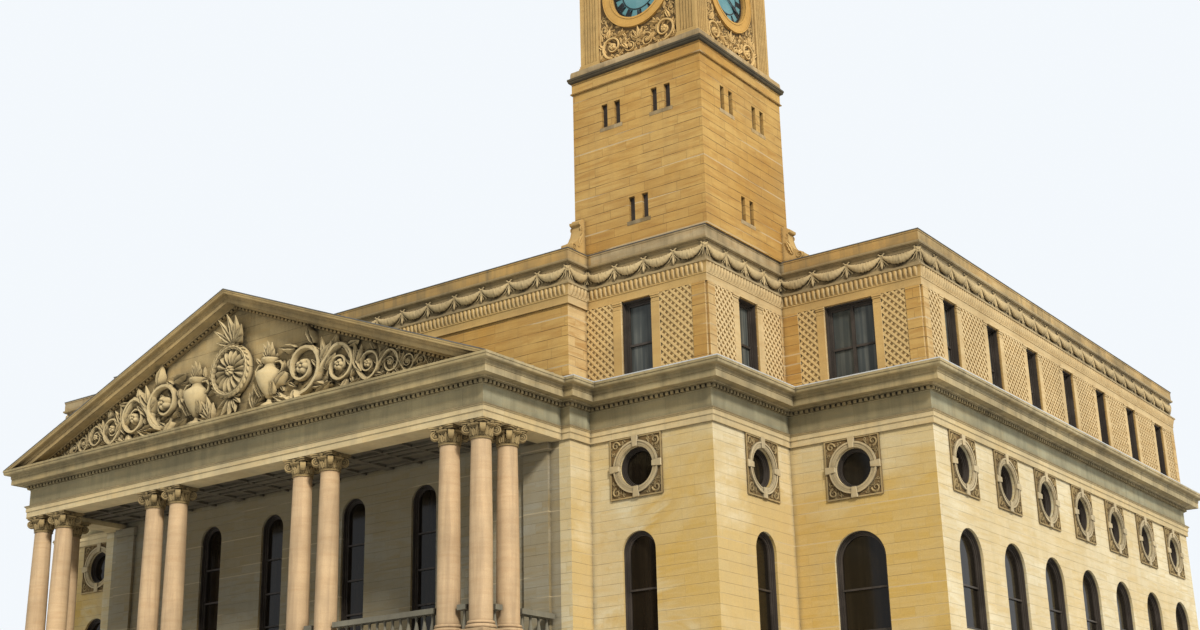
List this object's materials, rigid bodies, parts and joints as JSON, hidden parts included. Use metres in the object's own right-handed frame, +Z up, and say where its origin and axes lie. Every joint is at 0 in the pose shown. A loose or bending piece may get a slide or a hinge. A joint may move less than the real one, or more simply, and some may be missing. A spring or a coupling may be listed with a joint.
{
  "type": "courthouse with a temple-front portico and a clock tower, 1:2 scale model",
  "caption": "Sandstone courthouse as a 1:2 scale model: temple-front portico with a pediment over a high base, stepped front, attic storey and a square clock tower.",
  "frame": {"origin": "ground level, in the middle of the overall plan box", "axes": "+Z up, +X to the right of someone facing the portico, +Y from the portico to the back"},
  "size_m": [24.56, 20.259, 21.014],
  "materials": {
    "lower_stone": "sawn sandstone ashlar, pale buff, weathered",
    "golden_stone": "sawn sandstone ashlar, golden tan",
    "frieze_stone": "smooth sandstone stained grey-green",
    "cornice_stone": "moulded sandstone, weathered",
    "carved_stone": "carved sandstone",
    "column_stone": "smooth pinkish sandstone",
    "floor_slab": "stone slabs",
    "roof_metal": "sheet metal with seams, grey",
    "window_glass": "dark window glass",
    "door_wood": "dark stained timber",
    "dial": "blue-green opal dial",
    "hand_metal": "black paint"
  },
  "bodies": {
    "root": {"attic_floor": "floor_slab", "attic_storey_glass": "window_glass", "back_attic_frieze": "cornice_stone", "back_attic_wall": "golden_stone", "back_entablature": "frieze_stone", "back_wall": "lower_stone", "clock_dials": "dial", "clock_hands": "hand_metal", "clock_rings": "golden_stone", "clock_stage_entablature": "cornice_stone", "clock_stage_front_and_back": "golden_stone", "clock_stage_pilasters": "golden_stone", "clock_stage_sides": "golden_stone", "column_bases": "column_stone", "column_capitals": "carved_stone", "column_shafts": "column_stone", "entrance_doors": "door_wood", "entrance_steps": "column_stone", "front_attic_friezes": "cornice_stone", "front_attic_walls": "golden_stone", "front_entablatures": "frieze_stone", "front_walls": "lower_stone", "ground_floor": "floor_slab", "ground_storey_glass": "window_glass", "main_floor": "floor_slab", "main_roof": "roof_metal", "main_storey_glass": "window_glass", "oculus_surrounds": "carved_stone", "portico_antae": "lower_stone", "portico_balustrades": "column_stone", "portico_base_front": "lower_stone", "portico_base_sides": "lower_stone", "portico_ceiling": "floor_slab", "portico_floor": "floor_slab", "portico_front_entablature": "frieze_stone", "portico_roof": "roof_metal", "portico_side_entablatures": "frieze_stone", "raking_cornice": "cornice_stone", "side_attic_friezes": "cornice_stone", "side_attic_walls": "golden_stone", "side_entablatures": "frieze_stone", "side_walls": "lower_stone", "tower_base_walls": "golden_stone", "tower_finial": "roof_metal", "tower_front_and_back_walls": "golden_stone", "tower_inner_piers": "golden_stone", "tower_roof": "roof_metal", "tower_scroll_brackets": "cornice_stone", "tower_shaft_cornice": "cornice_stone", "tower_side_walls": "golden_stone", "tympanum": "carved_stone", "vestibule_piers": "lower_stone"}
  },
  "joints": []
}
